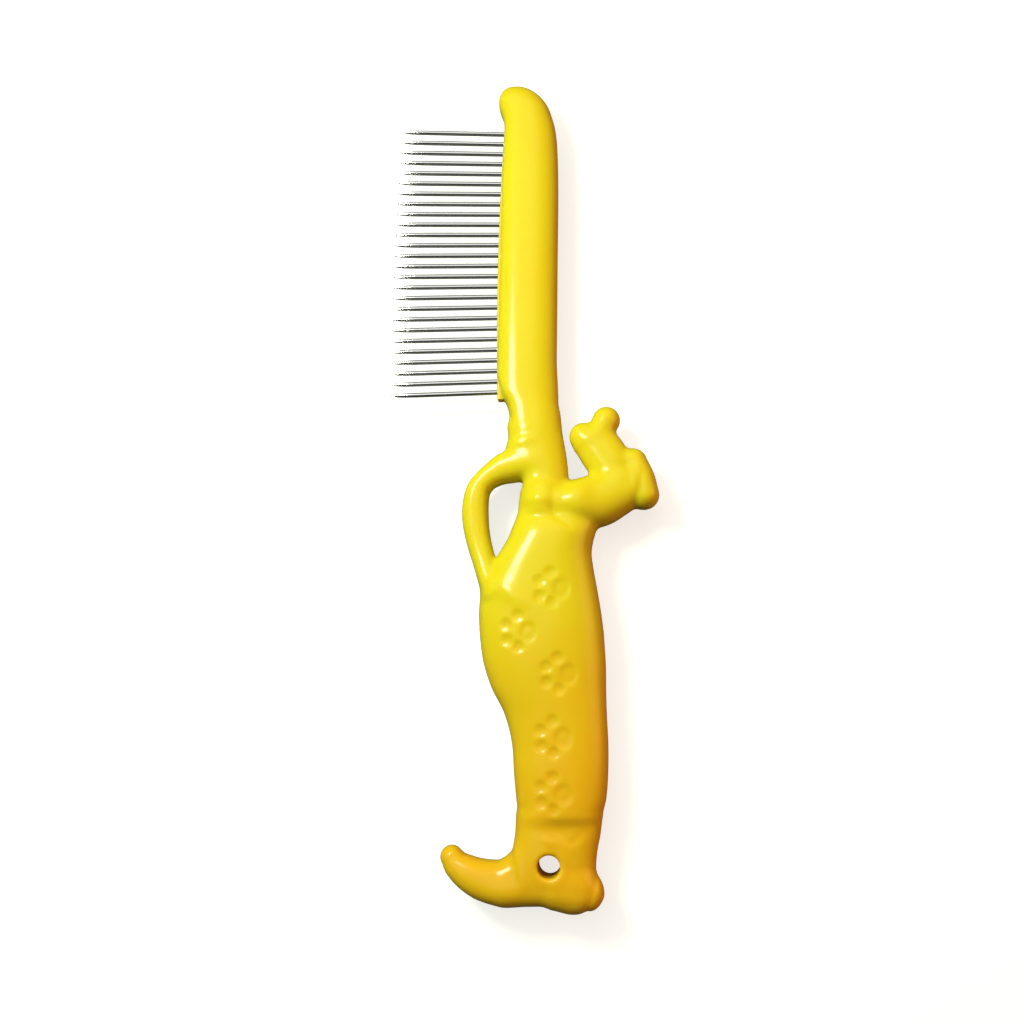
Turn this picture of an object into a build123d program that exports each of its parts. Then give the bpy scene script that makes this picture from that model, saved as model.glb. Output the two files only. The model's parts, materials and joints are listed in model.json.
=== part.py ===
from build123d import *
import math
import os

# Flea comb, lying flat. Millimetres. +Y runs along the spine, the pins point to -X, +Z is the thickness.
# The origin is the middle of the hanging hole in the boot, and the comb is the same above and below Z = 0.

# ---- pin row ----
pin_count = 26
pin_pitch = 2.5  # along the outer face of the bar
pin_diameter = 1.05
pin_exposed = 24.0
pin_taper = 5.0
pin_head_diameter = 1.5 * pin_diameter
pin_head_length = 0.7
row_radius = 824.0  # the outer face of the bar is bowed, so the pins fan out a little
row_face_x = -14.0
row_start_y = 101.05  # the axis of the pin nearest the handle

# ---- bar that holds the pins ----
bar_depth = 4.5
bar_thickness = 2.6
bar_end_margin = 1.9  # beyond the axes of the end pins
bar_proud = 0.6
bar_edge_radius = 0.4

# ---- fits ----
pin_bore_clearance = 0.02
pin_head_clearance = 0.05
bar_side_clearance = 0.02

# ---- hanging hole ----
hole_diameter = 4.6
hole_land_diameter = 8.4
hole_wall_length = 9.6

# ---- overall shape of the moulding ----
spine_width = 13.2
spine_thickness = 9.4
trunk_thickness = 15.4
ankle_thickness = 12.0
boot_thickness = 9.4
toe_thickness = 8.8
neck_thickness = 9.8
loop_width = 5.8
loop_thickness = 7.0
arm_thickness = 9.6
bone_thickness = 7.6
section_power = 2.3  # 2 gives an ellipse, more gives flatter faces
section_points = 16
ring_spacing = 3.0  # rings of a limb, on average

# ---- paw prints ----
toe_radius = 1.3
toe_depth = 0.4
pad_radius = 2.0
pad_depth = 0.5


def section(x, y, heading, half_width, half_thickness):
    """A closed flat section across a limb that runs along `heading`, in degrees from +X."""
    side = math.radians(heading - 90.0)
    points = []
    for i in range(section_points):
        turn = 2.0 * math.pi * i / section_points
        c = math.cos(turn)
        s = math.sin(turn)
        across = half_width * math.copysign(abs(c) ** (2.0 / section_power), c)
        height = half_thickness * math.copysign(abs(s) ** (2.0 / section_power), s)
        points.append((x + across * math.cos(side), y + across * math.sin(side), height))
    return make_face(Spline(*points, periodic=True))


def smooth_at(knots, values, at):
    """The value at `at` on a smooth curve through the values, which stand at the knots."""
    i = 0
    while i < len(knots) - 2 and at > knots[i + 1]:
        i += 1
    span = knots[i + 1] - knots[i]
    slopes = []
    for k in (i, i + 1):
        low = max(k - 1, 0)
        high = min(k + 1, len(knots) - 1)
        slopes.append((values[high] - values[low]) / (knots[high] - knots[low]))
    t = (at - knots[i]) / span
    rise = (1.0 + 2.0 * t) * (1.0 - t) ** 2 * values[i] + t * t * (3.0 - 2.0 * t) * values[i + 1]
    return rise + span * (t * (1.0 - t) ** 2 * slopes[0] - t * t * (1.0 - t) * slopes[1])


def limb(stations, start_cap, end_cap, level=False):
    """A solid through (x, y, half width, half thickness) stations, rounded off at both ends.

    The rings stand square to the centre line, or all across the comb where `level` is set."""
    knots = [0.0]
    for before, after in zip(stations, stations[1:]):
        knots.append(knots[-1] + math.dist(before[:2], after[:2]))
    core = knots[-1]
    columns = list(zip(*stations))

    def station_at(along):
        inside = min(max(along, 0.0), core)
        x, y, half_width, half_thickness = [smooth_at(knots, c, inside) for c in columns]
        ahead = min(inside + 0.01, core)
        behind = max(inside - 0.01, 0.0)
        dx = smooth_at(knots, columns[0], ahead) - smooth_at(knots, columns[0], behind)
        dy = smooth_at(knots, columns[1], ahead) - smooth_at(knots, columns[1], behind)
        heading = math.atan2(dy, dx)
        over = along - inside
        cap = start_cap if over < 0.0 else end_cap
        shrink = math.sqrt(max(1.0 - (over / cap) ** 2, 0.0))
        x += over * math.cos(heading)
        y += over * math.sin(heading)
        return x, y, math.degrees(heading), half_width * shrink, half_thickness * shrink

    length = start_cap + core + end_cap
    count = max(12, round(length / ring_spacing))
    rings = []
    for i in range(count + 1):
        # rings crowd towards both ends, where the limb rounds off to a point
        along = -start_cap + length * (1.0 - math.cos(math.pi * i / count)) / 2.0
        x, y, heading, half_width, half_thickness = station_at(along)
        if level:
            heading = math.copysign(90.0, heading)
        if i in (0, count):
            rings.append(Vertex(x, y, 0.0))
        else:
            rings.append(section(x, y, heading, half_width, half_thickness))
    return loft(rings)


def lobe(x, y, radius, seam):
    """A ball centred on the middle plane, its seam turned to `seam` degrees, away from its neighbours."""
    return Pos(x, y, 0) * Rot(0, 0, seam) * Sphere(radius)


# ---- pin row layout ----
row_axis_x = row_face_x + row_radius
row_half_length = (pin_count - 1) * pin_pitch / 2.0
row_centre_y = row_start_y + row_half_length
row_end_y = row_start_y + 2.0 * row_half_length
pin_angles = [(i - (pin_count - 1) / 2.0) * pin_pitch / row_radius for i in range(pin_count)]


def on_row(radius, angle):
    """A point at `radius` from the centre of the bow, `angle` radians up from the middle of the row."""
    return (row_axis_x - radius * math.cos(angle), row_centre_y + radius * math.sin(angle))


def row_strip(inner_radius, outer_radius, half_angle, thickness):
    """A bowed strip between two radii, centred on the middle plane."""
    arcs = []
    for radius in (inner_radius, outer_radius):
        arcs.append(
            ThreePointArc(
                on_row(radius, -half_angle),
                on_row(radius, 0.0),
                on_row(radius, half_angle),
            )
        )
    sides = [
        Line(arcs[0] @ 0, arcs[1] @ 0),
        Line(arcs[0] @ 1, arcs[1] @ 1),
    ]
    return extrude(make_face(arcs + sides), amount=thickness / 2.0, both=True)


bar_half_angle = (row_half_length + bar_end_margin) / row_radius
spine_half = spine_width / 2.0
spine_mid_x = row_face_x + bar_proud + spine_half - 0.2

# ---- spine and neck ----
st = spine_thickness / 2.0
nt = neck_thickness / 2.0
spine = limb(
    [
        (-1.8, 74.0, 5.4, nt),
        (-2.8, 80.0, 5.9, nt + 0.3),
        (-3.9, 86.0, 6.0, nt + 0.2),
        (-4.9, 92.0, 5.9, nt),
        (-5.7, 98.0, 6.15, nt),
        (spine_mid_x + 0.45, 103.0, spine_half, st),
        (spine_mid_x + 0.1, 112.0, spine_half + 0.1, st),
        (spine_mid_x, row_centre_y, spine_half, st),
        (spine_mid_x - 0.1, row_end_y - 13.5, spine_half - 0.1, st),
        (spine_mid_x - 0.15, row_end_y - 3.5, spine_half - 0.4, st),
        (spine_mid_x - 0.4, row_end_y + 0.7, spine_half - 0.65, st),
        (spine_mid_x - 0.95, row_end_y + 3.7, spine_half - 0.85, st),
        (spine_mid_x - 2.2, row_end_y + 6.7, spine_half - 1.1, st),
    ],
    4.0,
    5.1,
    level=True,
)

# ---- trunk and leg ----
tt = trunk_thickness / 2.0
at = ankle_thickness / 2.0
bt = boot_thickness / 2.0
leg_stations = [
    (-1.6, 77.0, 5.4, tt - 1.0),
    (-1.0, 71.0, 8.0, tt - 0.4),
    (-1.9, 66.0, 9.7, tt - 0.1),
    (-3.2, 60.5, 11.9, tt),
    (-3.3, 54.0, 12.9, tt),
    (-2.8, 47.0, 13.1, tt),
    (-1.9, 40.5, 12.8, tt),
    (-0.7, 35.0, 11.9, tt),
    (0.8, 29.5, 10.4, tt - 0.1),
    (1.8, 23.0, 9.8, tt - 0.2),
    (2.1, 16.0, 9.55, tt - 0.5),
    (2.0, 11.0, 9.15, at),
    (1.6, 6.0, 8.6, at - 0.7),
    (1.1, 1.5, 8.4, bt + 0.2),
    (1.7, -3.0, 8.2, bt),
]
leg = limb(leg_stations, 4.2, 5.6, level=True)

# ---- boot ----
ft = toe_thickness / 2.0
foot = limb(
    [
        (3.0, -3.0, 5.0, bt),
        (-1.0, -3.2, 5.0, bt),
        (-5.5, -3.6, 5.1, bt),
        (-10.0, -3.8, 4.75, ft),
        (-14.0, -3.2, 4.3, ft - 0.2),
        (-17.3, -1.5, 3.6, ft - 0.7),
        (-19.6, 0.2, 2.9, ft - 1.3),
    ],
    4.6,
    3.4,
)
heel = lobe(5.5, -4.95, bt + 0.1, -110)
spur = limb(
    [
        (3.0, -2.4, 4.4, bt - 0.5),
        (6.2, -3.7, 4.4, bt - 0.6),
        (8.8, -4.9, 3.4, bt - 1.2),
    ],
    2.0,
    2.7,
)
hole_land = Cylinder(hole_land_diameter / 2.0, hole_wall_length)
hole_land = fillet(hole_land.edges().filter_by(GeomType.CIRCLE), 0.4)

# ---- loop arm ----
lw = loop_width / 2.0
lt = loop_thickness / 2.0
loop_arm = limb(
    [
        (-4.0, 86.2, 3.6, lt + 0.6),
        (-8.0, 85.6, 3.8, lt + 0.6),
        (-11.6, 84.1, 3.7, lt + 0.4),
        (-14.8, 81.4, lw + 0.35, lt + 0.1),
        (-17.0, 77.6, lw + 0.1, lt),
        (-17.6, 73.0, lw, lt),
        (-17.1, 68.5, lw - 0.05, lt),
        (-15.9, 64.0, lw, lt + 0.2),
        (-14.2, 59.0, lw + 0.3, lt + 0.8),
        (-12.2, 54.0, lw + 0.6, lt + 1.4),
    ],
    2.5,
    2.5,
)

# ---- side arm and the bone in its hand ----
mt = arm_thickness / 2.0
side_arm = limb(
    [
        (0.5, 76.8, 4.9, mt),
        (4.6, 75.9, 5.3, mt + 0.2),
        (9.0, 76.6, 5.3, mt),
        (13.5, 78.2, 5.0, mt - 0.3),
        (17.0, 79.4, 4.5, mt - 0.6),
    ],
    3.0,
    3.0,
)
bo = bone_thickness / 2.0
bone_stem = limb(
    [
        (8.9, 91.6, 4.2, bo - 0.2),
        (11.0, 88.6, 3.8, bo),
        (13.2, 85.4, 4.0, bo + 0.1),
        (15.5, 82.2, 4.6, bo + 0.2),
    ],
    2.6,
    2.6,
)
bone_lobes = [
    lobe(10.9, 94.5, bo - 0.45, 80),
    lobe(6.1, 90.9, bo - 0.55, 170),
    lobe(17.8, 84.4, bo + 0.15, 50),
    lobe(18.9, 78.5, bo + 0.1, -40),
]

# ---- paw prints ----
paw_toes = [(0.6, 3.2), (-1.7, 1.3), (-1.5, -1.9), (1.0, -3.3)]
paw_pad = (2.7, -0.2)
paw_prints = [(-1.2, 56.7), (-7.9, 47.4), (0.6, 38.9), (-0.4, 25.9), (-0.1, 14.5)]


def leg_height(x, y):
    """Height of the leg's face above the middle plane, between its stations."""
    upper = min((s for s in leg_stations if s[1] >= y), key=lambda s: s[1])
    lower = max((s for s in leg_stations if s[1] < y), key=lambda s: s[1])
    mix = (y - lower[1]) / (upper[1] - lower[1])
    mid, _, half_width, half_thickness = [a + (b - a) * mix for a, b in zip(lower, upper)]
    across = min(abs(x - mid) / half_width, 1.0)
    return half_thickness * (1.0 - across**section_power) ** (1.0 / section_power)


def dent(x, y, mouth_radius, depth):
    """A ball that presses a round hollow of this mouth and depth into the leg's face."""
    ball_radius = (mouth_radius * mouth_radius + depth * depth) / (2.0 * depth)
    return Pos(x, y, leg_height(x, y) + ball_radius - depth) * Sphere(ball_radius)


# ---- join the moulding ----
handle = leg + spine
for piece in (loop_arm, side_arm, bone_stem, *bone_lobes, foot, heel, spur, hole_land):
    handle = handle + piece

slot_half_angle = bar_half_angle + bar_side_clearance / row_radius
bar_inner_radius = row_radius - bar_depth
slot = row_strip(
    bar_inner_radius,
    row_radius + 3.0,
    slot_half_angle,
    bar_thickness + 2.0 * bar_side_clearance,
)
handle = handle - slot
handle = handle - Cylinder(hole_diameter / 2.0, 40.0)

# ---- bar and its bores ----
bar = row_strip(bar_inner_radius, row_radius, bar_half_angle, bar_thickness)
face_edges = bar.edges().filter_by(lambda e: e.center().X < row_face_x + bar_depth / 2.0)
bar = fillet(face_edges, bar_edge_radius)


def pin_place(angle):
    """A frame on the outer face of the bar, its Z axis pointing out along the pin."""
    x, y = on_row(row_radius, angle)
    outward = (-math.cos(angle), math.sin(angle), 0.0)
    return Plane(origin=(x, y, 0.0), z_dir=outward)


def turned(outline):
    """A solid of revolution about Z from a list of (radius, height) corners."""
    face = make_face(Polyline(*[(r, 0.0, z) for r, z in outline], close=True))
    return revolve(face, Axis.Z, 360)


pin_r = pin_diameter / 2.0
head_r = pin_head_diameter / 2.0
bore_cutter = turned(
    [
        (0.0, -bar_depth - 1.0),
        (head_r + pin_head_clearance, -bar_depth - 1.0),
        (head_r + pin_head_clearance, -bar_depth + pin_head_length),
        (pin_r + pin_bore_clearance, -bar_depth + pin_head_length),
        (pin_r + pin_bore_clearance, 1.0),
        (0.0, 1.0),
    ]
)


def pin_profile():
    """Half outline of a pin: flat head, straight shank and a long rounded tip."""
    shank_end = pin_exposed - pin_taper
    head_top = -bar_depth + pin_head_length
    lines = [
        Line((0.0, 0.0, -bar_depth), (head_r, 0.0, -bar_depth)),
        Line((head_r, 0.0, -bar_depth), (head_r, 0.0, head_top)),
        Line((head_r, 0.0, head_top), (pin_r, 0.0, head_top)),
        Line((pin_r, 0.0, head_top), (pin_r, 0.0, shank_end)),
    ]
    tip_points = []
    for degrees in (0.0, 22.5, 45.0, 67.5, 90.0):
        turn = math.radians(degrees)
        tip_points.append((pin_r * math.cos(turn), 0.0, shank_end + pin_taper * math.sin(turn)))
    tip = Spline(*tip_points, tangents=((0.0, 0.0, 1.0), (-1.0, 0.0, 0.0)))
    close = Line((0.0, 0.0, pin_exposed), (0.0, 0.0, -bar_depth))
    return make_face(lines + [tip, close])


pin_blank = revolve(pin_profile(), Axis.Z, 360)
pins = []
for angle in pin_angles:
    place = pin_place(angle)
    bar = bar - place * bore_cutter
    pins.append(place * pin_blank)

# ---- press the paw prints into both faces ----
dents = []
for px, py in paw_prints:
    for tx, ty in paw_toes:
        dents.append(dent(px + tx, py + ty, toe_radius, toe_depth))
    dents.append(dent(px + paw_pad[0], py + paw_pad[1], pad_radius, pad_depth))
for cutter in dents:
    handle = handle - cutter
    handle = handle - mirror(cutter, Plane.XY)

os.makedirs("parts", exist_ok=True)


def save(shape, name):
    """Writes one node, named, as a STEP file."""
    solids = shape.solids()
    node = solids[0] if len(solids) == 1 else Compound(solids)
    node.label = name
    export_step(node, f"parts/{name}.step")


save(handle, "handle")
save(bar, "pin_bar")
for i, pin in enumerate(pins):
    save(pin, f"pin_{i + 1:02d}")
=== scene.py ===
import json
import math

import bpy
import numpy as np
from bpy.props import FloatProperty, FloatVectorProperty, PointerProperty
from bpy.types import Operator, Panel, PropertyGroup
from mathutils import Matrix, Vector


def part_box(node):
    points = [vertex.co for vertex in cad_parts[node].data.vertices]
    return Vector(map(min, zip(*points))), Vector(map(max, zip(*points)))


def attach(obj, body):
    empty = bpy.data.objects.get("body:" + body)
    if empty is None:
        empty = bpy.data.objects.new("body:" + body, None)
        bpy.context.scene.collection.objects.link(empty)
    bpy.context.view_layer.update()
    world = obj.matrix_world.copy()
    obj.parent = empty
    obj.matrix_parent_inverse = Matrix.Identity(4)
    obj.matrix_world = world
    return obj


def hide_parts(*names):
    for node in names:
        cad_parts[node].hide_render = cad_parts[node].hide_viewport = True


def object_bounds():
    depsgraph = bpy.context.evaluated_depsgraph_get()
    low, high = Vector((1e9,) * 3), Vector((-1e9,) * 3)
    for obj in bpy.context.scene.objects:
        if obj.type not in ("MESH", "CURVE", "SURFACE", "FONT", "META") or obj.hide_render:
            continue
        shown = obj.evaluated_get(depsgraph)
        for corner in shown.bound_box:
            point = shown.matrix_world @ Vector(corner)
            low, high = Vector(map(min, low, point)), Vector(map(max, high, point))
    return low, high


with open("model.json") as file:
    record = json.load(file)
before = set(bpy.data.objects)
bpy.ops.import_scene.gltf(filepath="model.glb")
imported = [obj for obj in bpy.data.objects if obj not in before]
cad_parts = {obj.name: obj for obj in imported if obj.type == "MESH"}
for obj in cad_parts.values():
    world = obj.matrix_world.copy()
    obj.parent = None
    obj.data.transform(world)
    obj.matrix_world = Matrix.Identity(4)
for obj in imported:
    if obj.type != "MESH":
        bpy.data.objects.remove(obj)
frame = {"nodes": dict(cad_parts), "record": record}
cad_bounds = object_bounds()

bl_info = {
    "name": "Flea Comb",
    "version": (1, 0, 0),
    "blender": (4, 5, 0),
    "location": "View3D > Sidebar > Comb",
    "description": "Makes a flea comb: moulded handle, pin bar, steel pins and a studio stage",
    "category": "Add Mesh",
}

MM = 0.001

# ---------------------------------------------------------------- sizes read from the frame
HANDLE_LOW, HANDLE_HIGH = [[v / MM for v in corner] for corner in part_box("handle")]
BAR_LOW, BAR_HIGH = [[v / MM for v in corner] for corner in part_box("pin_bar")]
HOLE = frame["record"]["mounts"][0]
HOLE_X, HOLE_Y = HOLE["pos_m"][0] / MM, HOLE["pos_m"][1] / MM
HOLE_RADIUS = HOLE["dims"]["r_mm"]
FLOOR_Z = cad_bounds[0][2]
BAR_END_MARGIN = 1.9  # beyond the axis of the last pin
ROW_END_Y = BAR_HIGH[1] - BAR_END_MARGIN
ROW_MID_Y = (BAR_LOW[1] + BAR_HIGH[1]) / 2
BAR_PROUD = 0.45  # how far the bar stands out of the spine
SPINE_EDGE_X = BAR_LOW[0] + BAR_PROUD
SPINE_HALF_WIDTH = 6.6
TRUNK = HANDLE_HIGH[2]

SECTION_POWER = 2.35
RIM_ROUNDING = 0.35
RIM_RING_RADIUS = 3.2
RIM_RING_HEIGHT = 0.12

# ridge down the neck: x at each y
NECK_RIDGE_X = (-8.6, -8.9, -9.6, -10.9, -12.0, -13.2)
NECK_RIDGE_Y = (91.5, 94.5, 97.0, 100.0, 102.2, 105.0)

# paw prints: toes and pad round the middle of each print, and the middles down the leg
PAW_TOES = ((0.6, 3.2), (-1.7, 1.3), (-1.5, -1.9), (1.0, -3.2))
PAW_PAD = (2.9, -0.2)
PAW_PRINTS = ((-1.2, 56.7), (-7.9, 47.4), (0.6, 38.9), (-0.3, 25.9), (-0.1, 14.6))

# stage, in metres
FLOOR_HALF_SIZE = 1.6
LIGHTS_AIM = (-0.008, 0.080, 0.0)
KEY_PLACE = (-0.126, 0.162, 0.206)
KEY_SIZE = 0.065
KEY_COLOUR = (0.94, 1.0, 0.91)
WARM_PLACE = (0.30, 0.10, 0.11)
WARM_SIZE = 0.20
WARM_COLOUR = (1.0, 0.37, 0.16)
WINDOW_WAY = (-0.26, 0.46, 0.85)
ROOM_DARK = (0.05, 0.05, 0.045, 1)
WINDOW_BRIGHT = (1.0, 1.0, 1.0, 1)
PAPER_GLOW = (1.0, 0.985, 0.95, 1)
CAMERA_PLACE = (0.00829, 0.03050, 0.23977)
CAMERA_AIM = (-0.00951, 0.07393, 0.0)
CAMERA_UPRIGHT = (-0.0237, 0.9997, 0.0)
CAMERA_LENS_MM = 39.19
CAMERA_SENSOR_MM = 36.0


# ---------------------------------------------------------------- shape field
def smooth_stations(stations, step=0.5):
    """Evenly spaced samples (x, y, half width, half thickness) on a smooth curve through stations."""
    points = np.array(stations, float)
    runs = np.hypot(*np.diff(points[:, :2], axis=0).T)
    knots = np.concatenate([[0.0], np.cumsum(runs)])
    slopes = np.gradient(points, knots, axis=0)
    slopes[1:-1] = (points[2:] - points[:-2]) / (knots[2:] - knots[:-2])[:, None]
    along = np.linspace(0.0, knots[-1], max(8, int(knots[-1] / step)))
    i = np.clip(np.searchsorted(knots, along, side="right") - 1, 0, len(knots) - 2)
    span = (knots[i + 1] - knots[i])[:, None]
    t = ((along - knots[i]) / span[:, 0])[:, None]
    a, b, da, db = points[i], points[i + 1], slopes[i] * span, slopes[i + 1] * span
    rise = (1 + 2 * t) * (1 - t) ** 2 * a + t * t * (3 - 2 * t) * b
    return rise + t * (1 - t) ** 2 * da - t * t * (1 - t) * db


class Limb:
    """A rounded body along a smooth centre line, with super-elliptical sections."""

    def __init__(
        self, stations, start_cap, end_cap, blend, level=False, power=SECTION_POWER, pin_side=None
    ):
        """Stations are (x, y, half width, half thickness). A level limb has its sections square to Y.

        The half of each section towards the pins takes the power `pin_side`, where that is given."""
        self.samples = smooth_stations(stations)
        self.caps = (start_cap, end_cap)
        self.blend = blend
        self.level = level
        self.power = power
        self.pin_side = pin_side or power
        xy = self.samples[:, :2]
        tangent = np.gradient(xy, axis=0)
        self.tangent = tangent / np.linalg.norm(tangent, axis=1)[:, None]
        self.reach = max(self.samples[:, 2].max(), *self.caps) + blend + 1.5
        self.low = xy.min(0) - self.reach
        self.high = xy.max(0) + self.reach

    def frame_at(self, x, y):
        """Across and beyond-the-end distances of each (x, y), with the local half sizes and cap."""
        s = self.samples
        if self.level:
            order = np.argsort(s[:, 1])
            ys = s[order, 1]
            inside = np.clip(y, ys[0], ys[-1])
            across = x - np.interp(inside, ys, s[order, 0])
            over = y - inside
            first_is_low = s[0, 1] < s[-1, 1]
            low_cap, high_cap = self.caps if first_is_low else self.caps[::-1]
            ends = (s[order[0]], s[order[-1]])
            lean = [self.tangent[order[0]], self.tangent[order[-1]]]
            for sign, tangent in ((-1, lean[0]), (1, lean[1])):
                drift = tangent[0] / tangent[1]
                across = across - np.where(over * sign > 0, over * drift, 0.0)
            cap = np.where(over < 0, low_cap, high_cap)
            half_width = np.interp(inside, ys, s[order, 2])
            half_thick = np.interp(inside, ys, s[order, 3])
            return across, np.abs(over), half_width, half_thick, cap
        shape = x.shape
        px, py = x.ravel(), y.ravel()
        near = np.empty(px.size, int)
        for a in range(0, px.size, 40000):
            b = a + 40000
            dx = px[a:b, None] - s[None, :, 0]
            dy = py[a:b, None] - s[None, :, 1]
            near[a:b] = np.argmin(dx * dx + dy * dy, axis=1)
        dx, dy = px - s[near, 0], py - s[near, 1]
        tx, ty = self.tangent[near].T
        ahead = dx * tx + dy * ty
        across = dx * ty - dy * tx
        last = len(s) - 1
        at_start, at_end = near == 0, near == last
        over = np.where(at_start, np.maximum(-ahead, 0), np.where(at_end, np.maximum(ahead, 0), 0))
        step = np.hypot(*(s[1, :2] - s[0, :2]))
        place = np.clip(near + ahead / step, 0, last)
        half_width = np.interp(place, np.arange(last + 1), s[:, 2])
        half_thick = np.interp(place, np.arange(last + 1), s[:, 3])
        cap = np.where(at_start, self.caps[0], self.caps[1])
        return [v.reshape(shape) for v in (across, over, half_width, half_thick, cap)]

    def field(self, x, y, z):
        """Signed distance, close enough near the skin: negative inside, in millimetres."""
        across, over, half_width, half_thick, cap = self.frame_at(x, y)
        if z.ndim == 3:
            across, over, half_width, half_thick, cap = [
                v[..., None] for v in (across, over, half_width, half_thick, cap)
            ]
        n = self.power
        if self.pin_side != self.power:
            n = np.where(across < 0, self.pin_side, self.power)
        u = np.abs(across) / half_width + 1e-9
        w = np.abs(z) / half_thick + 1e-9
        e = over / cap
        ring = (u**n + w**n) ** (1 / n)
        q = np.sqrt(ring * ring + e * e) + 1e-9
        fall = ring ** (1 - n) * ring / q
        gradient = np.sqrt(
            (fall * u ** (n - 1) / half_width) ** 2
            + (fall * w ** (n - 1) / half_thick) ** 2
            + (e / q / cap) ** 2
        )
        return (q - 1) / np.maximum(gradient, 0.35 / np.maximum(half_width, half_thick))


def soft_join(a, b, blend):
    """Union of two fields with a fillet of about `blend` millimetres."""
    h = np.maximum(blend - np.abs(a - b), 0) / blend
    return np.minimum(a, b) - h * h * blend / 4


def soft_cut(a, b, blend):
    """Field a with b removed, its edge eased by `blend`."""
    h = np.maximum(blend - np.abs(a + b), 0) / blend
    return np.maximum(a, -b) + h * h * blend / 4


def ease(x, low, high):
    """0 below low, 1 above high, smooth between."""
    t = np.clip((x - low) / (high - low), 0, 1)
    return t * t * (3 - 2 * t)


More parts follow.
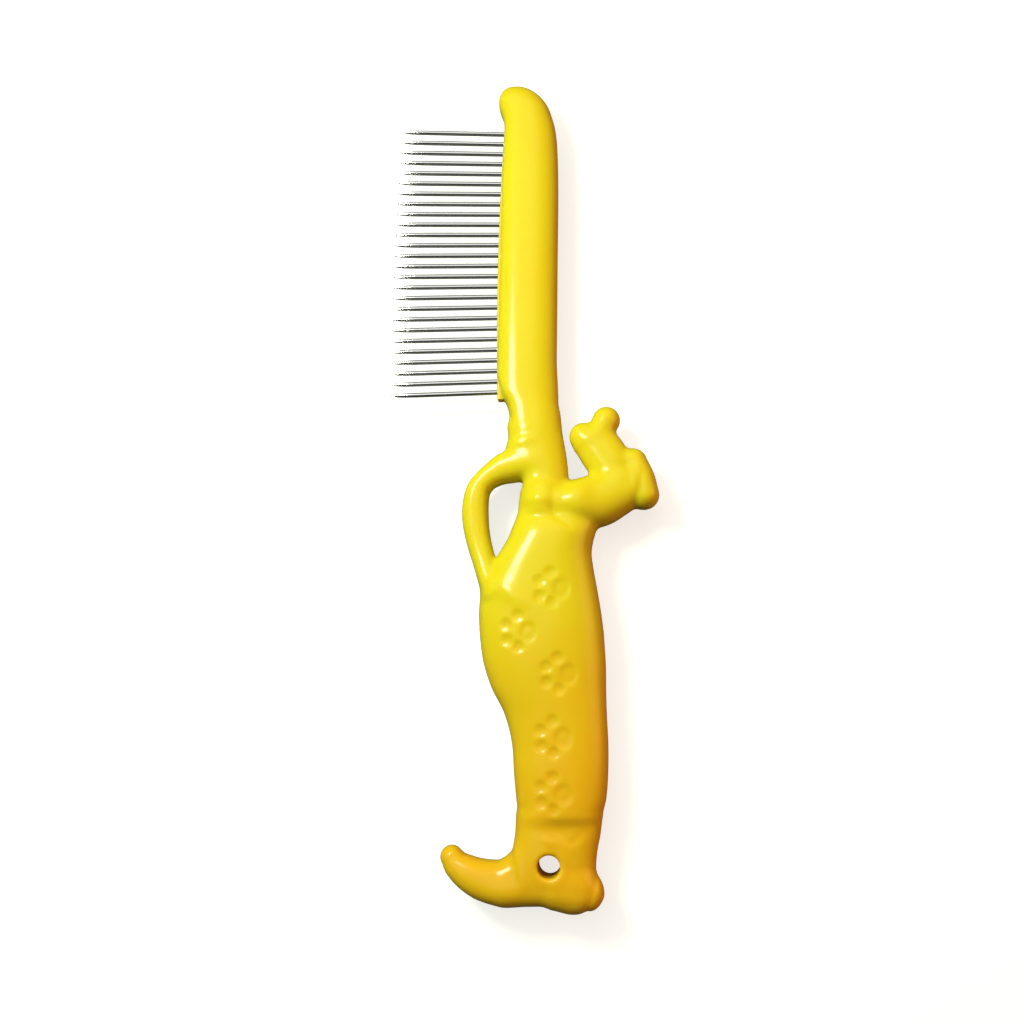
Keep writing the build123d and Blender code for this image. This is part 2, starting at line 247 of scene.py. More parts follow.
def handle_limbs():
    """Every limb of the handle, in the order in which they join."""
    spine_x = SPINE_EDGE_X + SPINE_HALF_WIDTH
    t = TRUNK
    return [
        # spine, from the neck to the fingertip
        Limb(
            [
                (-1.9, 76.0, 4.6, 4.9),
                (-2.3, 81.0, 5.1, 5.2),
                (-3.6, 86.0, 5.9, 5.3),
                (-4.75, 91.5, 6.05, 5.2),
                (-5.25, 96.0, 6.0, 5.0),
                (-5.8, 98.2, 6.1, 4.9),
                (-6.5, 100.4, 6.7, 4.8),
                (-6.7, 103.0, 6.75, 4.75),
                (spine_x + 0.05, 108.0, 6.65, 4.7),
                (spine_x, 114.0, 6.65, 4.7),
                (spine_x - 0.05, ROW_MID_Y, 6.55, 4.7),
                (spine_x - 0.15, ROW_END_Y - 13.5, 6.5, 4.7),
                (spine_x - 0.3, ROW_END_Y - 3.5, 6.25, 4.65),
                (spine_x - 0.5, ROW_END_Y + 0.7, 5.95, 4.6),
                (spine_x - 0.9, ROW_END_Y + 3.1, 5.75, 4.6),
                (spine_x - 1.65, ROW_END_Y + 5.3, 5.8, 4.6),
            ],
            4.0,
            6.4,
            1.0,
            level=True,
            power=2.15,
            pin_side=2.7,
        ),
        # chest
        Limb(
            [(-2.6, 78.4, 3.9, t - 1.4), (-2.75, 75.9, 4.4, t - 0.7), (-2.7, 73.8, 4.1, t - 1.2)],
            2.2,
            1.9,
            2.0,
            level=True,
            power=2.3,
        ),
        # trunk and leg
        Limb(
            [
                (-0.2, 77.5, 7.4, 5.0),
                (0.1, 74.2, 8.2, 5.4),
                (0.05, 72.5, 8.6, 6.1),
                (-0.05, 71.0, 9.0, 6.75),
                (-0.4, 69.5, 9.2, t - 0.5),
                (-0.95, 67.8, 9.3, t - 0.3),
                (-1.9, 65.0, 9.9, t - 0.2),
                (-2.7, 61.3, 11.2, t - 0.15),
                (-3.05, 57.4, 12.3, t - 0.05),
                (-3.0, 53.0, 13.05, t),
                (-2.6, 48.5, 13.3, t),
                (-2.2, 44.5, 13.25, t - 0.15),
                (-1.7, 40.7, 13.0, t - 0.35),
                (-0.75, 35.7, 12.15, t - 0.75),
                (0.75, 30.5, 10.85, t - 1.1),
                (1.8, 24.5, 10.15, t - 1.3),
                (2.1, 18.3, 9.85, t - 1.35),
                (2.2, 13.4, 9.4, t - 1.5),
                (2.05, 10.6, 8.85, t - 1.7),
            ],
            3.0,
            3.6,
            1.5,
            level=True,
            power=2.3,
            pin_side=2.5,
        ),
        # boot shaft
        Limb(
            [
                (2.05, 12.5, 7.6, 5.4),
                (1.95, 9.0, 8.75, 5.55),
                (1.85, 6.5, 8.7, 5.4),
                (1.6, 3.5, 8.35, 5.2),
                (1.5, -0.3, 8.15, 5.0),
                (1.8, -3.0, 8.4, 4.8),
                (2.25, -5.0, 8.35, 4.3),
            ],
            2.5,
            2.7,
            1.3,
            level=True,
            power=2.2,
        ),
        # instep, foot and curled toe in one bent run
        Limb(
            [
                (-1.8, 9.0, 4.8, 5.2),
                (-2.5, 3.2, 5.0, 5.1),
                (-4.8, -1.2, 5.4, 4.9),
                (-8.8, -3.5, 5.05, 4.7),
                (-12.8, -3.45, 4.5, 4.4),
                (-16.2, -2.45, 3.75, 4.0),
                (-19.0, -0.75, 2.95, 3.3),
                (-20.4, 0.95, 2.35, 2.7),
            ],
            2.5,
            2.3,
            1.4,
        ),
        # sole, then the heel
        Limb([(-9.0, -3.9, 4.6, 4.3), (-4.0, -3.8, 4.65, 4.5), (1.5, -3.7, 4.4, 4.6)], 3.0, 3.0, 1.2),
        Limb(
            [
                (2.0, -4.25, 4.7, 4.5),
                (5.0, -4.85, 4.9, 4.6),
                (7.2, -5.35, 4.35, 4.2),
                (8.8, -5.75, 3.2, 3.3),
            ],
            3.0,
            2.3,
            1.8,
        ),
        # shoulder, from the neck to the looped arm
        Limb([(-5.5, 91.0, 3.2, 4.6), (-8.6, 87.6, 2.5, 4.2)], 2.5, 2.4, 1.8),
        # looped arm
        Limb(
            [
                (-1.2, 83.6, 2.8, 4.6),
                (-4.6, 85.0, 3.4, 5.2),
                (-8.0, 84.6, 3.7, 4.9),
                (-11.4, 83.6, 3.35, 4.3),
                (-13.6, 82.4, 2.8, 3.9),
                (-15.4, 81.0, 2.5, 3.7),
                (-16.9, 78.9, 2.6, 3.6),
                (-17.5, 76.2, 2.8, 3.6),
                (-17.55, 73.0, 2.9, 3.5),
                (-17.2, 70.0, 2.8, 3.5),
                (-16.4, 66.5, 2.65, 3.6),
                (-15.3, 63.0, 2.55, 4.0),
                (-14.1, 59.5, 2.6, 4.8),
                (-12.6, 55.8, 3.0, 6.0),
            ],
            2.4,
            3.0,
            1.0,
            power=2.5,
        ),
        # side arm, from the elbow to the wrist
        Limb(
            [
                (1.0, 75.6, 4.2, t - 1.2),
                (4.8, 75.9, 5.3, t - 0.5),
                (9.0, 76.6, 5.8, t - 1.6),
                (13.2, 78.3, 5.2, t - 2.3),
                (16.6, 79.5, 4.3, t - 2.9),
            ],
            2.6,
            3.0,
            1.4,
            power=2.15,
        ),
        # bone: stem, two lobes, and the fist round its other end
        Limb(
            [
                (7.9, 90.3, 4.6, 3.8),
                (9.9, 87.7, 4.95, 4.1),
                (12.0, 84.5, 4.9, 4.4),
                (13.7, 81.3, 4.5, 4.6),
            ],
            2.4,
            2.2,
            1.6,
            power=2.2,
        ),
        Limb([(9.9, 92.8, 2.9, 3.4), (10.9, 94.7, 3.05, 3.5)], 2.6, 3.0, 1.3, power=2.0),
        Limb([(7.8, 90.2, 3.0, 3.3), (5.8, 91.0, 3.05, 3.4)], 2.6, 2.95, 1.3, power=2.0),
        Limb(
            [(16.9, 85.2, 3.0, 4.0), (18.3, 81.5, 3.3, 4.6), (19.35, 77.9, 3.2, 4.4)],
            3.1,
            3.1,
            1.3,
            power=2.1,
        ),
    ]


def pressed_print(x, y, toe_depth, pad_depth):
    """Depth of the five paw prints at (x, y): four round toes and a broad pad each."""
    depth = np.zeros_like(x)
    for px, py in PAW_PRINTS:
        for tx, ty in PAW_TOES:
            r = np.hypot((x - px - tx) / 1.05, y - py - ty)
            depth = np.maximum(depth, toe_depth * (1 - ease(r, 0.5, 1.65)))
        r = np.hypot((x - px - PAW_PAD[0]) / 0.95, (y - py - PAW_PAD[1]) / 1.15)
        floor = pad_depth * (1 - 0.25 * np.exp(-(r**2)))
        depth = np.maximum(depth, floor * (1 - ease(r, 1.1, 2.4)))
    return depth


def groove(x, y, points, width, depth):
    """A soft groove along a short curve, deepest at its middle."""
    line = smooth_stations([(px, py, 1.0, 1.0) for px, py in points], 0.4)
    best = np.full(x.shape, 1e9)
    where = np.zeros(x.shape)
    for i, (px, py, _, _) in enumerate(line):
        d = (x - px) ** 2 + (y - py) ** 2
        nearer = d < best
        best = np.where(nearer, d, best)
        where = np.where(nearer, i / (len(line) - 1), where)
    strength = np.sin(np.pi * np.clip(where, 0.02, 0.98)) ** 0.6
    return depth * strength * np.exp(-best / (width * width))


def relief(x, y, sizes):
    """How far the skin is pressed in at (x, y), on both faces, in millimetres."""
    depth = pressed_print(x, y, sizes.toe_depth, sizes.pad_depth)
    # collar round the neck: a fold with a low roll under it
    depth = depth + groove(x, y, [(-10.0, 90.2), (-7.2, 90.6), (-4.4, 91.6)], 0.9, 0.16)
    depth = depth - groove(x, y, [(-10.8, 88.7), (-7.5, 88.4), (-3.0, 89.8)], 1.0, 0.12)
    # step down from the ridge to the web on the pin side of the neck
    ridge = np.interp(y, NECK_RIDGE_Y, NECK_RIDGE_X)
    depth = depth + 0.6 * ease(ridge - x, 0.0, 1.3) * ease(y, 92.5, 95.5) * (1 - ease(y, 101.5, 105.0))
    # groove under the elbow, which stands proud of the trunk
    depth = depth + groove(x, y, [(-1.1, 75.0), (0.4, 72.0), (2.6, 70.4), (5.0, 69.6)], 0.85, 0.4)
    # loose hem above the boot, and the wrinkles under it
    depth = depth + 0.55 * np.exp(-(((x - 2.4) / 5.4) ** 2) - ((y - 7.4) / 1.9) ** 2)
    depth = depth + groove(x, y, [(2.4, 6.9), (4.3, 5.0), (6.8, 6.8)], 0.8, 0.25)
    depth = depth - groove(x, y, [(-1.6, 6.0), (-0.2, 5.0), (1.4, 4.6)], 0.8, 0.2)
    # the foot lies a little lower than the boot shaft
    across = x + 0.25 * np.clip(y - 1.0, -4.0, 4.0)
    foot = ease(-across, 6.3, 7.7) * (1 - ease(-x, 9.5, 17.0))
    foot = foot * (1 - ease(y, 3.0, 7.0)) * ease(y, -6.5, -1.5)
    depth = depth + 0.6 * foot
    # end of the looped arm, laid over the thigh
    depth = depth - groove(x, y, [(-14.2, 58.8), (-11.5, 57.0), (-8.0, 54.6), (-4.5, 52.2)], 1.8, 0.42)
    # wrist and knuckles
    depth = depth + groove(x, y, [(18.8, 83.0), (18.0, 78.5), (17.0, 74.4)], 0.9, 0.3)
    depth = depth + groove(x, y, [(12.4, 84.9), (15.0, 84.0), (17.4, 85.0)], 0.9, 0.25)
    return depth


def handle_field(limbs, x, y, z, sizes, boxed=False):
    """The whole handle as one field."""
    total = None
    for limb in limbs:
        if boxed:
            i0, i1 = np.searchsorted(x[:, 0], [limb.low[0], limb.high[0]])
            j0, j1 = np.searchsorted(y[0], [limb.low[1], limb.high[1]])
            if total is None:
                total = np.full(x.shape + (z.size,), 9.0, np.float64)
            part = (slice(i0, i1), slice(j0, j1))
            found = limb.field(x[part], y[part], z[None, None, :])
            total[part] = soft_join(total[part], found, limb.blend)
        else:
            found = limb.field(x, y, z)
            total = found if total is None else soft_join(total, found, limb.blend)
    r = np.hypot(x - HOLE_X, y - HOLE_Y)
    sink = relief(x, y, sizes)
    # low ring round the hanging hole
    sink = sink - RIM_RING_HEIGHT * np.exp(-((r - RIM_RING_RADIUS) ** 2))
    if boxed:
        sink, r = sink[..., None], r[..., None]
    total = total + sink
    return soft_cut(total, r - HOLE_RADIUS, RIM_ROUNDING * 2)


def skin(field, low, cell):
    """Quad mesh of the zero surface: one point per crossed cell, one quad per crossed edge."""
    inside = field < 0
    shape = np.array(field.shape) - 1
    total = np.zeros(tuple(shape) + (3,))
    count = np.zeros(tuple(shape))

    def part(array, offset):
        return array[tuple(slice(o, o + n) for o, n in zip(offset, shape))]

    for axis in range(3):
        others = [a for a in range(3) if a != axis]
        for p in (0, 1):
            for q in (0, 1):
                start = [0, 0, 0]
                start[others[0]], start[others[1]] = p, q
                stop = list(start)
                stop[axis] = 1
                a, b = part(field, start), part(field, stop)
                crossed = part(inside, start) != part(inside, stop)
                share = np.where(crossed, a / np.where(crossed, a - b, 1.0), 0.0)
                count += crossed
                total[..., axis] += share
                for other, side in ((others[0], p), (others[1], q)):
                    if side:
                        total[..., other] += crossed
    cells = np.argwhere(count > 0)
    ids = np.full(tuple(shape), -1)
    key = tuple(cells.T)
    ids[key] = np.arange(len(cells))
    points = np.array(low) + (cells + total[key] / count[key][:, None]) * cell
    quads = []
    for axis in range(3):
        a, b = [k for k in range(3) if k != axis]
        first = [slice(1, -1)] * 3
        first[axis] = slice(0, -1)
        second = list(first)
        second[axis] = slice(1, None)
        crossed = np.argwhere(inside[tuple(first)] != inside[tuple(second)])
        base = crossed.copy()
        base[:, a] += 1
        base[:, b] += 1
        corners = []
        for da, db in ((-1, -1), (0, -1), (0, 0), (-1, 0)):
            c = base.copy()
            c[:, a] += da
            c[:, b] += db
            corners.append(ids[tuple(c.T)])
        quad = np.stack(corners, axis=1)
        outward = inside[tuple(base.T)]
        if axis == 1:
            outward = ~outward
        quad[~outward] = quad[~outward][:, ::-1]
        quads.append(quad)
    return points, np.concatenate(quads)


def handle_mesh(sizes):
    """Points and quads of the handle, in millimetres."""
    limbs = handle_limbs()
    cell = sizes.cell / MM
    low = np.array(HANDLE_LOW) - 3 * cell
    high = np.array(HANDLE_HIGH) + 3 * cell
    x, y, z = [np.arange(a, b, cell) for a, b in zip(low, high)]
    gx, gy = np.meshgrid(x, y, indexing="ij")
    field = handle_field(limbs, gx, gy, z, sizes, boxed=True)
    points, quads = skin(field, (x[0], y[0], z[0]), cell)

    def at(p):
        return handle_field(limbs, p[:, 0], p[:, 1], p[:, 2], sizes)

    nudge = 0.02
    for _ in range(2):
        value = at(points)
        slope = np.empty_like(points)
        for axis in range(3):
            moved = points.copy()
            moved[:, axis] += nudge
            slope[:, axis] = (at(moved) - value) / nudge
        length2 = np.maximum((slope**2).sum(1), 0.04)
        step = slope * (value / length2)[:, None]
        size = np.linalg.norm(step, axis=1)[:, None]
        points = points - step * np.minimum(1.0, 0.5 * cell / np.maximum(size, 1e-9))
    return points, quads


def mesh_object(name, points, faces):
    """A smooth-shaded object from points in millimetres."""
    mesh = bpy.data.meshes.new(name)
    mesh.from_pydata((points * MM).tolist(), [], faces.tolist())
    mesh.validate()
    mesh.shade_smooth()
    piece = bpy.data.objects.new(name, mesh)
    bpy.context.scene.collection.objects.link(piece)
    return piece


# ---------------------------------------------------------------- shader groups and materials
class Nodes:
    """Short hand for adding and linking shader nodes in one tree."""

    def __init__(self, tree):
        self.tree = tree

    def add(self, kind, **values):
        node = self.tree.nodes.new(kind)
        for key, value in values.items():
            if hasattr(node, key):
                setattr(node, key, value)
            else:
                node.inputs[key.replace("_", " ")].default_value = value
        return node

    def link(self, out, into):
        self.tree.links.new(out, into)


def new_group(name, inputs, outputs):
    """An empty shader group with (name, socket type, default) inputs and (name, type) outputs."""
    tree = bpy.data.node_groups.new(name, "ShaderNodeTree")
    for label, kind, default in inputs:
        socket = tree.interface.new_socket(label, in_out="INPUT", socket_type=kind)
        socket.default_value = default
    for label, kind in outputs:
        tree.interface.new_socket(label, in_out="OUTPUT", socket_type=kind)
    nodes = Nodes(tree)
    return nodes, nodes.add("NodeGroupInput"), nodes.add("NodeGroupOutput")


def moulded_skin_group():
    """Faint waviness and fine grain of a moulded or drawn surface, as a height."""
    if "Moulded Skin" in bpy.data.node_groups:
        return bpy.data.node_groups["Moulded Skin"]
    n, into, out = new_group(
        "Moulded Skin",
        [
            ("Vector", "NodeSocketVector", (0, 0, 0)),
            ("Wave Size", "NodeSocketFloat", 120.0),
            ("Grain Size", "NodeSocketFloat", 2200.0),
            ("Grain Share", "NodeSocketFloat", 0.12),
        ],
        [("Height", "NodeSocketFloat")],
    )
    wave = n.add("ShaderNodeTexNoise", Detail=2.0, Roughness=0.4)
    grain = n.add("ShaderNodeTexNoise", Detail=3.0, Roughness=0.55)
    n.link(into.outputs["Vector"], wave.inputs["Vector"])
    n.link(into.outputs["Vector"], grain.inputs["Vector"])
    n.link(into.outputs["Wave Size"], wave.inputs["Scale"])
    n.link(into.outputs["Grain Size"], grain.inputs["Scale"])
    mix = n.add("ShaderNodeMix", data_type="FLOAT")
    n.link(into.outputs["Grain Share"], mix.inputs[0])
    n.link(wave.outputs["Fac"], mix.inputs[2])
    n.link(grain.outputs["Fac"], mix.inputs[3])
    n.link(mix.outputs[0], out.inputs["Height"])
    return n.tree


def tint_and_painted_shade_group():
    """Two shades of one pigment: the deeper one comes in random patches, and is also painted in as shade
    towards the low end, darker and more orange where less light falls.
    """
    if "Tint And Painted Shade" in bpy.data.node_groups:
        return bpy.data.node_groups["Tint And Painted Shade"]
    n, into, out = new_group(
        "Tint And Painted Shade",
        [
            ("Vector", "NodeSocketVector", (0, 0, 0)),
            ("Main", "NodeSocketColor", (1, 1, 1, 1)),
            ("Second", "NodeSocketColor", (1, 1, 1, 1)),
            ("Size", "NodeSocketFloat", 40.0),
            ("Low", "NodeSocketFloat", 0.0),
            ("High", "NodeSocketFloat", 0.1),
        ],
        [("Color", "NodeSocketColor")],
    )
    axis = n.add("ShaderNodeSeparateXYZ")
    n.link(into.outputs["Vector"], axis.inputs["Vector"])
    # painted shade: the deeper shade grows towards low Y, standing in for the weaker light there
    along = n.add("ShaderNodeMapRange", To_Min=1.0, To_Max=0.0)
    n.link(axis.outputs["Y"], along.inputs["Value"])
    n.link(into.outputs["Low"], along.inputs["From Min"])
    n.link(into.outputs["High"], along.inputs["From Max"])
    noise = n.add("ShaderNodeTexNoise", Detail=3.0, Roughness=0.5)
    n.link(into.outputs["Vector"], noise.inputs["Vector"])
    n.link(into.outputs["Size"], noise.inputs["Scale"])
    spread = n.add("ShaderNodeMapRange", From_Min=0.35, From_Max=0.65, To_Min=-0.15, To_Max=0.15)
    n.link(noise.outputs["Fac"], spread.inputs["Value"])
    share = n.add("ShaderNodeMath", operation="ADD", use_clamp=True)
    n.link(spread.outputs["Result"], share.inputs[0])
    n.link(along.outputs["Result"], share.inputs[1])
    mix = n.add("ShaderNodeMix", data_type="RGBA")
    n.link(share.outputs["Value"], mix.inputs[0])
    n.link(into.outputs["Main"], mix.inputs[6])
    n.link(into.outputs["Second"], mix.inputs[7])
    n.link(mix.outputs[2], out.inputs["Color"])
    return n.tree


def handling_marks_group():
    """Fine hairlines and rubbed patches, as a mask from 0 to 1."""
    if "Handling Marks" in bpy.data.node_groups:
        return bpy.data.node_groups["Handling Marks"]
    n, into, out = new_group(
        "Handling Marks",
        [
            ("Vector", "NodeSocketVector", (0, 0, 0)),
            ("Line Size", "NodeSocketFloat", 300.0),
            ("Patch Size", "NodeSocketFloat", 60.0),
        ],
        [("Mask", "NodeSocketFloat")],
    )
    lines = n.add("ShaderNodeTexVoronoi", feature="DISTANCE_TO_EDGE")
    patches = n.add("ShaderNodeTexNoise", Detail=4.0, Roughness=0.6)
    n.link(into.outputs["Vector"], lines.inputs["Vector"])
    n.link(into.outputs["Vector"], patches.inputs["Vector"])
    n.link(into.outputs["Line Size"], lines.inputs["Scale"])
    n.link(into.outputs["Patch Size"], patches.inputs["Scale"])
    thin = n.add("ShaderNodeMapRange", From_Min=0.0, From_Max=0.03, To_Min=1.0, To_Max=0.0)
    n.link(lines.outputs["Distance"], thin.inputs["Value"])
    where = n.add("ShaderNodeMapRange", From_Min=0.48, From_Max=0.68)
    n.link(patches.outputs["Fac"], where.inputs["Value"])
    both = n.add("ShaderNodeMath", operation="MULTIPLY")
    n.link(thin.outputs["Result"], both.inputs[0])
    n.link(where.outputs["Result"], both.inputs[1])
    n.link(both.outputs[0], out.inputs["Mask"])
    return n.tree


def place_group(n, tree, **values):
    """A shader group placed in a material with its own values."""
    node = n.add("ShaderNodeGroup", node_tree=tree)
    for key, value in values.items():
        node.inputs[key.replace("_", " ")].default_value = value
    return node


def plastic_material(name, colours, roughness, wave, scatter):
    """Glossy moulded plastic with a little light passing through its skin."""
    material = bpy.data.materials.new(name)
    material.use_nodes = True
    n = Nodes(material.node_tree)
    body = material.node_tree.nodes["Principled BSDF"]
    place = n.add("ShaderNodeTexCoord")
    # Low and High: from the thigh down to the boot the deeper shade is painted in, darker and more
    # orange lower down, as painted shade; the noise in the group adds random tone
    drift = place_group(
        n,
        tint_and_painted_shade_group(),
        Main=(*colours[0], 1),
        Second=(*colours[1], 1),
        Size=38.0,
        Low=0.008,
        High=0.062,
    )
    marks = place_group(n, handling_marks_group(), Line_Size=420.0, Patch_Size=70.0)
    height = place_group(n, moulded_skin_group(), Wave_Size=wave, Grain_Size=1800.0, Grain_Share=0.06)
    for node in (drift, marks, height):
        n.link(place.outputs["Object"], node.inputs["Vector"])
    n.link(drift.outputs["Color"], body.inputs["Base Color"])
    rough = n.add("ShaderNodeMapRange", To_Min=roughness, To_Max=roughness + 0.16)
    n.link(marks.outputs["Mask"], rough.inputs["Value"])
    n.link(rough.outputs["Result"], body.inputs["Roughness"])
    bump = n.add("ShaderNodeBump", Strength=0.18, Distance=0.0004)
    n.link(height.outputs["Height"], bump.inputs["Height"])
    n.link(bump.outputs["Normal"], body.inputs["Normal"])
    body.inputs["IOR"].default_value = 1.5
    body.inputs["Specular IOR Level"].default_value = 0.2
    body.inputs["Subsurface Weight"].default_value = scatter
    body.inputs["Subsurface Radius"].default_value = (1.0, 0.5, 0.06)
    body.inputs["Subsurface Scale"].default_value = 0.0028
    return material


def steel_material(name, colour, roughness):
    """Polished steel wire with faint drawing marks."""
    material = bpy.data.materials.new(name)
    material.use_nodes = True
    n = Nodes(material.node_tree)
    body = material.node_tree.nodes["Principled BSDF"]
    place = n.add("ShaderNodeTexCoord")
    stretch = n.add("ShaderNodeMapping")
    stretch.inputs["Scale"].default_value = (0.05, 1.0, 1.0)
    n.link(place.outputs["Object"], stretch.inputs["Vector"])
    deeper = [c * 0.86 for c in colour]
    drift = place_group(n, tint_and_painted_shade_group(), Main=(*colour, 1), Second=(*deeper, 1), Size=900.0)
    marks = place_group(n, handling_marks_group(), Line_Size=2500.0, Patch_Size=400.0)
    height = place_group(n, moulded_skin_group(), Wave_Size=1500.0, Grain_Size=9000.0, Grain_Share=0.4)
    for node in (drift, marks, height):
        n.link(stretch.outputs["Vector"], node.inputs["Vector"])
    n.link(drift.outputs["Color"], body.inputs["Base Color"])
    rough = n.add("ShaderNodeMapRange", To_Min=roughness, To_Max=roughness + 0.12)
    n.link(marks.outputs["Mask"], rough.inputs["Value"])
    n.link(rough.outputs["Result"], body.inputs["Roughness"])
    bump = n.add("ShaderNodeBump", Strength=0.05, Distance=0.00005)
    n.link(height.outputs["Height"], bump.inputs["Height"])
    n.link(bump.outputs["Normal"], body.inputs["Normal"])
    body.inputs["Metallic"].default_value = 1.0
    return material


# ---------------------------------------------------------------- settings
class CombShape(PropertyGroup):
    cell: FloatProperty(
        name="Mesh Cell",
        description="Size of the handle's mesh cells",
        default=0.00045,
        min=0.0003,
        max=0.001,
        unit="LENGTH",
    )
    toe_depth: FloatProperty(
        name="Toe Depth",
        description="Depth of each toe of a paw print, in millimetres",
        default=0.32,
        min=0.0,
        max=1.5,
    )
    pad_depth: FloatProperty(
        name="Pad Depth",
        description="Depth of each pad of a paw print, in millimetres",
        default=0.30,
        min=0.0,
        max=1.5,
    )


class CombFinish(PropertyGroup):
    handle_colour: FloatVectorProperty(
        name="Handle Colour",
        description="Pigment of the handle",
        default=(0.75, 0.63, 0.013),
        min=0.0,
        max=1.0,
        subtype="COLOR",
    )
    # deeper, more orange tone of the pigment: scattered at random, and painted in towards the boot as
    # painted shade
    handle_deep_and_shaded: FloatVectorProperty(
        name="Deeper Tone And Painted Shade",
        description="Slightly deeper shade that drifts through the handle",
        default=(0.83, 0.50, 0.009),
        min=0.0,
        max=1.0,
        subtype="COLOR",
    )
    bar_colour: FloatVectorProperty(
        name="Bar Colour",
        description="Pigment of the pin bar",
        default=(0.80, 0.55, 0.008),
        min=0.0,
        max=1.0,
        subtype="COLOR",
    )
    steel_colour: FloatVectorProperty(
        name="Steel Colour",
        description="Tint of the pins",
        default=(0.62, 0.62, 0.60),
        min=0.0,
        max=1.0,
        subtype="COLOR",
    )
    gloss: FloatProperty(
        name="Plastic Roughness",
        description="Roughness of the plastic where it is untouched",
        default=0.2,
        min=0.0,
        max=1.0,
    )
    scatter: FloatProperty(
        name="Scatter",
        description="How much light passes through the plastic's skin",
        default=0.5,
        min=0.0,
        max=1.0,
        subtype="FACTOR",
    )


class CombStage(PropertyGroup):
    floor_colour: FloatVectorProperty(
        name="Floor Colour",
        description="Colour of the plain floor",
        default=(0.48, 0.52, 0.43),
        min=0.0,
        max=1.0,
        subtype="COLOR",
    )
    bounce_colour: FloatVectorProperty(
        name="Bounce Colour",
        description="Colour of the light the floor gives back",
        default=(0.10, 0.10, 0.09),
        min=0.0,
        max=1.0,
        subtype="COLOR",
    )
    floor_lift: FloatProperty(
        name="Floor Lift",
        description="How over-bright the floor looks",
        default=0.75,
        min=0.0,
    )
    key_power: FloatProperty(
        name="Key Light",
        description="Power of the light on the pin side",
        default=0.60,
        min=0.0,
        unit="POWER",
    )
    warm_power: FloatProperty(
        name="Warm Light",
        description="Power of the weak warm light on the bone side",
        default=0.46,
        min=0.0,
        unit="POWER",
    )
    sky: FloatProperty(
        name="Room Light",
        description="Strength of the light from the room",
        default=1.35,
        min=0.0,
    )


# ---------------------------------------------------------------- operators
class COMB_OT_handle(Operator):
    """Make the moulded handle with its paw prints and hanging hole"""

    bl_idname = "comb.handle"
    bl_label = "Handle"

    def execute(self, context):
        finish = context.scene.comb_finish
        points, quads = handle_mesh(context.scene.comb_shape)
        if len(quads) < 1000:
            raise RuntimeError("the handle's surface could not be found")
        piece = mesh_object("comb_handle", points, quads)
        shades = (finish.handle_colour, finish.handle_deep_and_shaded)
        plastic = plastic_material("handle_plastic", shades, finish.gloss, 140.0, finish.scatter)
        piece.data.materials.append(plastic)
        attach(piece, "root")
        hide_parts("handle")
        return {"FINISHED"}


class COMB_OT_pin_bar(Operator):
    """Finish the strip that holds the pins"""

    bl_idname = "comb.pin_bar"
    bl_label = "Pin Bar"

    def execute(self, context):
        finish = context.scene.comb_finish
        bar = frame["nodes"]["pin_bar"]
        shades = (finish.bar_colour, [c * 0.93 for c in finish.bar_colour])
        dress(bar, plastic_material("bar_plastic", shades, finish.gloss + 0.06, 300.0, finish.scatter))
        return {"FINISHED"}


class COMB_OT_pins(Operator):
    """Finish the row of steel pins"""

    bl_idname = "comb.pins"
    bl_label = "Pins"

    def execute(self, context):
        steel = steel_material("pin_steel", context.scene.comb_finish.steel_colour, 0.12)
        pins = [o for name, o in frame["nodes"].items() if name.startswith("pin_") and name != "pin_bar"]
        if not pins:
            raise RuntimeError("the frame has no pins")
        for pin in pins:
            dress(pin, steel)
        return {"FINISHED"}


def dress(node, material):
    """Gives a CAD node its finish, one material over all of it."""
    for place in node.material_slots:
        place.material = material
    if not node.material_slots:
        node.data.materials.append(material)


def area_light(name, place, size, power, colour):
    """A square light hung at `place`, facing the comb."""
    data = bpy.data.lights.new(name, "AREA")
    data.shape = "RECTANGLE"
    data.size = size
    data.size_y = size
    data.energy = power
    data.color = colour
    lamp = bpy.data.objects.new(name, data)
    lamp.location = place
    lamp.rotation_euler = (Vector(place) - Vector(LIGHTS_AIM)).to_track_quat("Z", "Y").to_euler()
    bpy.context.scene.collection.objects.link(lamp)


def floor_paper(stage):
    """Plain pale paper, over-bright to the eye but lighting the comb only dimly."""
    paper = bpy.data.materials.new("floor_paper")
    paper.use_nodes = True
    n = Nodes(paper.node_tree)
    body = paper.node_tree.nodes["Principled BSDF"]
    body.inputs["Base Color"].default_value = (*stage.floor_colour, 1)
    body.inputs["Roughness"].default_value = 0.9
    body.inputs["Specular IOR Level"].default_value = 0.2
    shine = n.add("ShaderNodeEmission")
    shine.inputs["Color"].default_value = PAPER_GLOW
    shine.inputs["Strength"].default_value = stage.floor_lift
    bright = n.add("ShaderNodeAddShader")
    n.link(body.outputs["BSDF"], bright.inputs[0])
    n.link(shine.outputs["Emission"], bright.inputs[1])
    dim = n.add("ShaderNodeBsdfDiffuse")
    dim.inputs["Color"].default_value = (*stage.bounce_colour, 1)
    seen = n.add("ShaderNodeLightPath")
    pick = n.add("ShaderNodeMixShader")
    n.link(seen.outputs["Is Camera Ray"], pick.inputs["Fac"])
    n.link(dim.outputs["BSDF"], pick.inputs[1])
    n.link(bright.outputs["Shader"], pick.inputs[2])
    n.link(pick.outputs["Shader"], paper.node_tree.nodes["Material Output"].inputs["Surface"])
    return paper


def lay_floor(stage):
    """A flat floor under the comb."""
    half = FLOOR_HALF_SIZE
    corners = [(-half, -half), (half, -half), (half, half), (-half, half)]
    mesh = bpy.data.meshes.new("floor")
    mesh.from_pydata([(x, y, FLOOR_Z) for x, y in corners], [], [(0, 1, 2, 3)])
    floor = bpy.data.objects.new("floor", mesh)
    bpy.context.scene.collection.objects.link(floor)
    mesh.materials.append(floor_paper(stage))


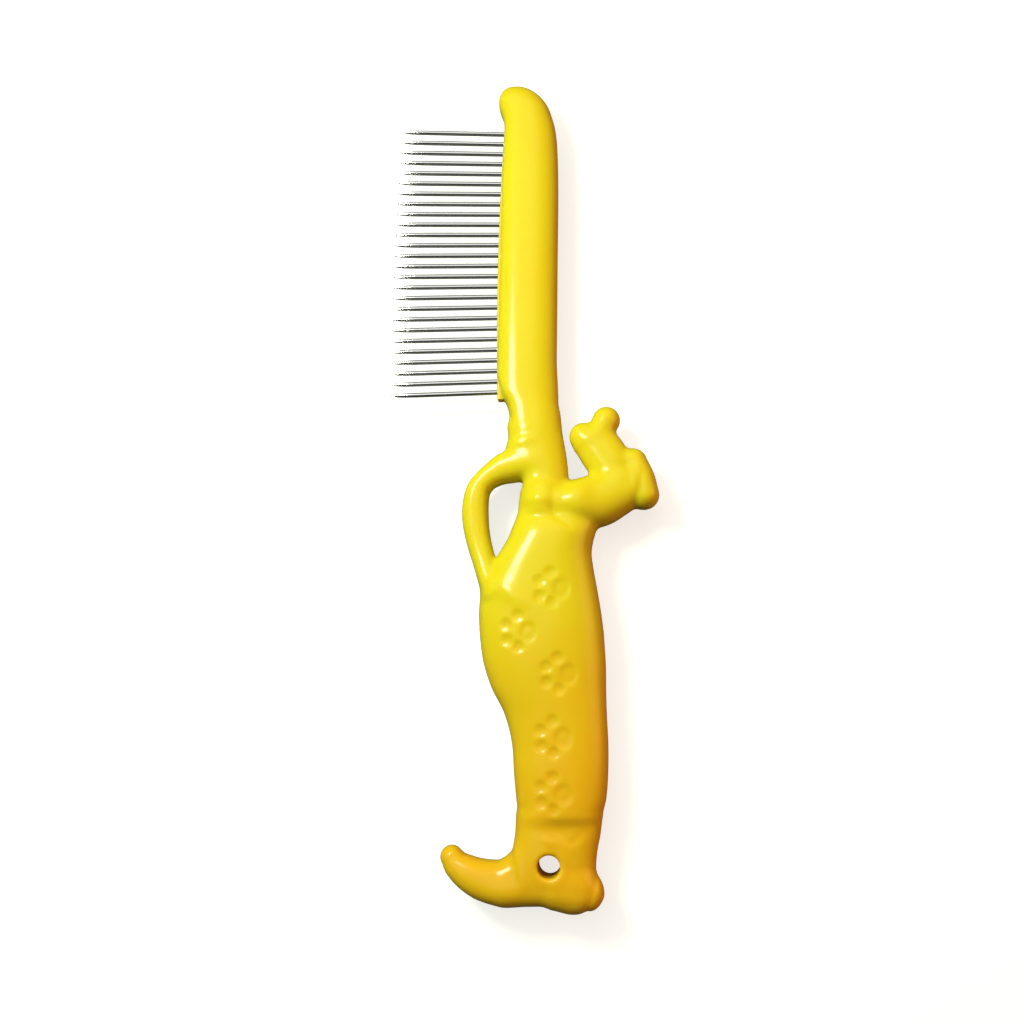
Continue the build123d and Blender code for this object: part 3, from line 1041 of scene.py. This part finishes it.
def light_room(strength):
    """A dim room with one soft bright patch, high up beyond the far end of the spine."""
    world = bpy.data.worlds.new("room")
    bpy.context.scene.world = world
    world.use_nodes = True
    n = Nodes(world.node_tree)
    back = world.node_tree.nodes["Background"]
    place = n.add("ShaderNodeTexCoord")
    towards = n.add("ShaderNodeVectorMath", operation="DOT_PRODUCT")
    towards.inputs[1].default_value = Vector(WINDOW_WAY).normalized()
    ramp = n.add("ShaderNodeValToRGB")
    ramp.color_ramp.interpolation = "EASE"
    ramp.color_ramp.elements[0].position = 0.76
    ramp.color_ramp.elements[0].color = ROOM_DARK
    ramp.color_ramp.elements[1].position = 0.93
    ramp.color_ramp.elements[1].color = WINDOW_BRIGHT
    n.link(place.outputs["Generated"], towards.inputs[0])
    n.link(towards.outputs["Value"], ramp.inputs["Fac"])
    n.link(ramp.outputs["Color"], back.inputs["Color"])
    back.inputs["Strength"].default_value = strength


def place_camera():
    """The camera, hung over the leg and looking down at the chest."""
    lens = bpy.data.cameras.new("camera")
    lens.sensor_width = CAMERA_SENSOR_MM
    lens.lens = CAMERA_LENS_MM
    lens.clip_start = 0.01
    lens.clip_end = 20.0
    camera = bpy.data.objects.new("camera", lens)
    bpy.context.scene.collection.objects.link(camera)
    eye = Vector(CAMERA_PLACE)
    backwards = (eye - Vector(CAMERA_AIM)).normalized()
    right = Vector(CAMERA_UPRIGHT).cross(backwards).normalized()
    up = backwards.cross(right)
    turn = Matrix((right, up, backwards)).transposed().to_4x4()
    camera.matrix_world = Matrix.Translation(eye) @ turn
    bpy.context.scene.camera = camera


class COMB_OT_stage(Operator):
    """Lay the floor, hang the lights and set the camera"""

    bl_idname = "comb.stage"
    bl_label = "Stage"

    def execute(self, context):
        stage = context.scene.comb_stage
        lay_floor(stage)
        area_light("key_light", KEY_PLACE, KEY_SIZE, stage.key_power, KEY_COLOUR)
        area_light("warm_light", WARM_PLACE, WARM_SIZE, stage.warm_power, WARM_COLOUR)
        light_room(stage.sky)
        place_camera()
        context.scene.view_settings.view_transform = "Standard"
        return {"FINISHED"}


class COMB_PT_panel(Panel):
    """Lists the comb's pieces and their settings"""

    bl_label = "Flea Comb"
    bl_idname = "COMB_PT_panel"
    bl_space_type = "VIEW_3D"
    bl_region_type = "UI"
    bl_category = "Comb"

    def draw(self, context):
        layout = self.layout
        for group in (context.scene.comb_shape, context.scene.comb_finish, context.scene.comb_stage):
            box = layout.box()
            for key in group.__annotations__:
                box.prop(group, key)
        for operator in OPERATORS:
            layout.operator(operator.bl_idname)


GROUPS = (("comb_shape", CombShape), ("comb_finish", CombFinish), ("comb_stage", CombStage))
OPERATORS = (COMB_OT_stage, COMB_OT_handle, COMB_OT_pin_bar, COMB_OT_pins)


def register():
    for name, group in GROUPS:
        bpy.utils.register_class(group)
        setattr(bpy.types.Scene, name, PointerProperty(type=group))
    for kind in (*OPERATORS, COMB_PT_panel):
        bpy.utils.register_class(kind)


def unregister():
    for kind in (COMB_PT_panel, *reversed(OPERATORS)):
        bpy.utils.unregister_class(kind)
    for name, group in reversed(GROUPS):
        delattr(bpy.types.Scene, name)
        bpy.utils.unregister_class(group)


def main():
    register()
    for operator in OPERATORS:
        group, call = operator.bl_idname.split(".")
        getattr(getattr(bpy.ops, group), call)()
    bpy.context.view_layer.update()


if __name__ == "__main__":
    main()
